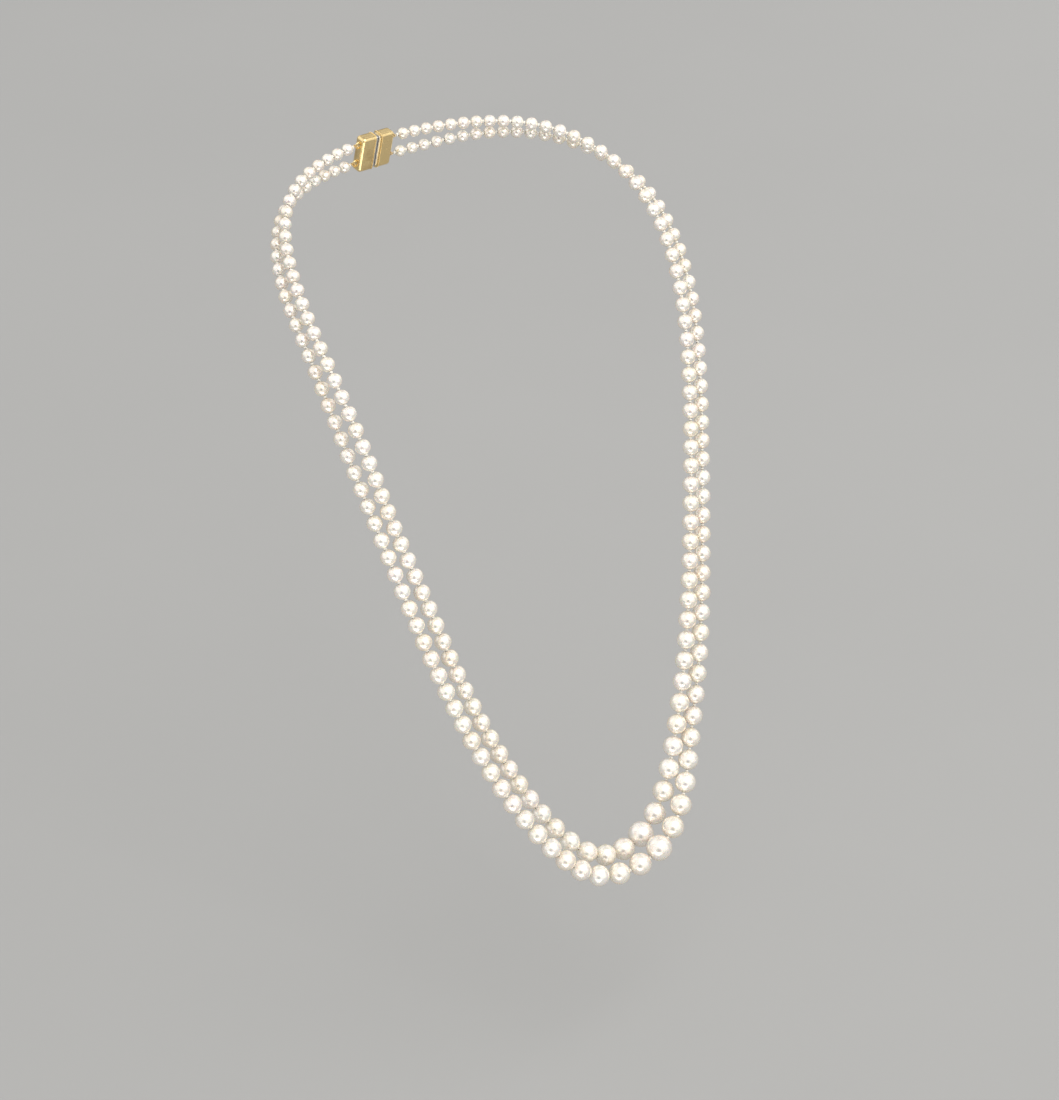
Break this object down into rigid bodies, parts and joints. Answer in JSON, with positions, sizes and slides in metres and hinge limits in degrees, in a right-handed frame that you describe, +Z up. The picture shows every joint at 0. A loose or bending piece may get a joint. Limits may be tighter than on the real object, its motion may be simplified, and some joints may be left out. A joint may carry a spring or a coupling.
{
  "type": "pearl necklace",
  "caption": "Double-strand graduated pearl necklace, knotted on silk and draped open round the neck, with hinging sections and a magnetic clasp whose halves swivel.",
  "frame": {"origin": "where the bottom of the necklace's front rests on the wearer's chest, in the wearer's middle plane", "axes": "+Z up the standing wearer, -Y the way the front faces, +X to the right of a viewer who faces the front"},
  "size_m": [0.1414, 0.1471, 0.1935],
  "materials": {
    "pearl": "gloss",
    "silk": "matte",
    "gimp_wire": "satin",
    "clasp_metal": "polished",
    "face_plate": "satin",
    "magnet": "polished"
  },
  "bodies": {
    "front": {"inner_pearls_front": "pearl", "inner_silk_front": "silk", "outer_pearls_front": "pearl", "outer_silk_front": "silk"},
    "left_1": {"inner_pearls_left_1": "pearl", "inner_silk_left_1": "silk", "outer_pearls_left_1": "pearl", "outer_silk_left_1": "silk"},
    "left_2": {"inner_pearls_left_2": "pearl", "inner_silk_left_2": "silk", "outer_pearls_left_2": "pearl", "outer_silk_left_2": "silk"},
    "left_3": {"inner_pearls_left_3": "pearl", "inner_silk_left_3": "silk", "outer_pearls_left_3": "pearl", "outer_silk_left_3": "silk"},
    "left_4": {"inner_pearls_left_4": "pearl", "inner_silk_left_4": "silk", "outer_pearls_left_4": "pearl", "outer_silk_left_4": "silk"},
    "left_5": {"inner_pearls_left_5": "pearl", "inner_silk_left_5": "silk", "outer_pearls_left_5": "pearl", "outer_silk_left_5": "silk", "left_gimp_loops": "gimp_wire"},
    "left_clasp": {"left_clasp_case": "clasp_metal", "left_clasp_face": "face_plate", "left_clasp_magnets": "magnet"},
    "right_1": {"inner_pearls_right_1": "pearl", "inner_silk_right_1": "silk", "outer_pearls_right_1": "pearl", "outer_silk_right_1": "silk"},
    "right_2": {"inner_pearls_right_2": "pearl", "inner_silk_right_2": "silk", "outer_pearls_right_2": "pearl", "outer_silk_right_2": "silk"},
    "right_3": {"inner_pearls_right_3": "pearl", "inner_silk_right_3": "silk", "outer_pearls_right_3": "pearl", "outer_silk_right_3": "silk"},
    "right_4": {"inner_pearls_right_4": "pearl", "inner_silk_right_4": "silk", "outer_pearls_right_4": "pearl", "outer_silk_right_4": "silk"},
    "right_5": {"inner_pearls_right_5": "pearl", "inner_silk_right_5": "silk", "outer_pearls_right_5": "pearl", "outer_silk_right_5": "silk", "right_gimp_loops": "gimp_wire"},
    "right_clasp": {"right_clasp_case": "clasp_metal", "right_clasp_face": "face_plate", "right_clasp_magnets": "magnet"}
  },
  "joints": [
    {"name": "left_bend_1", "type": "hinge", "parent": "front", "child": "left_1", "pos_m": [-0.02327, 0.00773, 0.01847], "axis": [0.6849, 0.7285, 0.017], "range_deg": [0, 20]},
    {"name": "left_bend_2", "type": "hinge", "parent": "left_1", "child": "left_2", "pos_m": [-0.04507, 0.03011, 0.06537], "axis": [0.8399, 0.4476, 0.3069], "range_deg": [0, 20]},
    {"name": "left_bend_3", "type": "hinge", "parent": "left_2", "child": "left_3", "pos_m": [-0.05758, 0.04994, 0.11074], "axis": [0.7891, -0.0259, 0.6137], "range_deg": [0, 20]},
    {"name": "left_bend_4", "type": "hinge", "parent": "left_3", "child": "left_4", "pos_m": [-0.06613, 0.0752, 0.1552], "axis": [0.2394, -0.6516, 0.7198], "range_deg": [0, 20]},
    {"name": "left_bend_5", "type": "hinge", "parent": "left_4", "child": "left_5", "pos_m": [-0.05675, 0.11446, 0.17894], "axis": [0.1496, -0.5926, 0.7915], "range_deg": [0, 20]},
    {"name": "left_clasp_swivel", "type": "hinge", "parent": "left_5", "child": "left_clasp", "pos_m": [-0.01908, 0.13382, 0.18676], "axis": [-0.0406, 0.0999, -0.9942], "range_deg": [-25, 25]},
    {"name": "right_bend_1", "type": "hinge", "parent": "front", "child": "right_1", "pos_m": [0.03554, 0.01593, 0.03646], "axis": [0.9919, 0.0063, 0.1269], "range_deg": [0, 20]},
    {"name": "right_bend_2", "type": "hinge", "parent": "right_1", "child": "right_2", "pos_m": [0.05112, 0.03919, 0.08551], "axis": [0.9824, 0.1834, 0.0349], "range_deg": [0, 20]},
    {"name": "right_bend_3", "type": "hinge", "parent": "right_2", "child": "right_3", "pos_m": [0.06218, 0.06234, 0.12973], "axis": [0.9811, 0.1721, 0.089], "range_deg": [0, 20]},
    {"name": "right_bend_4", "type": "hinge", "parent": "right_3", "child": "right_4", "pos_m": [0.0673, 0.09629, 0.16817], "axis": [0.8032, 0.5312, -0.2695], "range_deg": [0, 20]},
    {"name": "right_bend_5", "type": "hinge", "parent": "right_4", "child": "right_5", "pos_m": [0.03944, 0.12773, 0.1856], "axis": [0.3057, 0.353, -0.8843], "range_deg": [0, 20]},
    {"name": "right_clasp_swivel", "type": "hinge", "parent": "right_5", "child": "right_clasp", "pos_m": [-0.00437, 0.1354, 0.18632], "axis": [-0.0406, 0.0999, -0.9942], "range_deg": [-25, 25]}
  ]
}
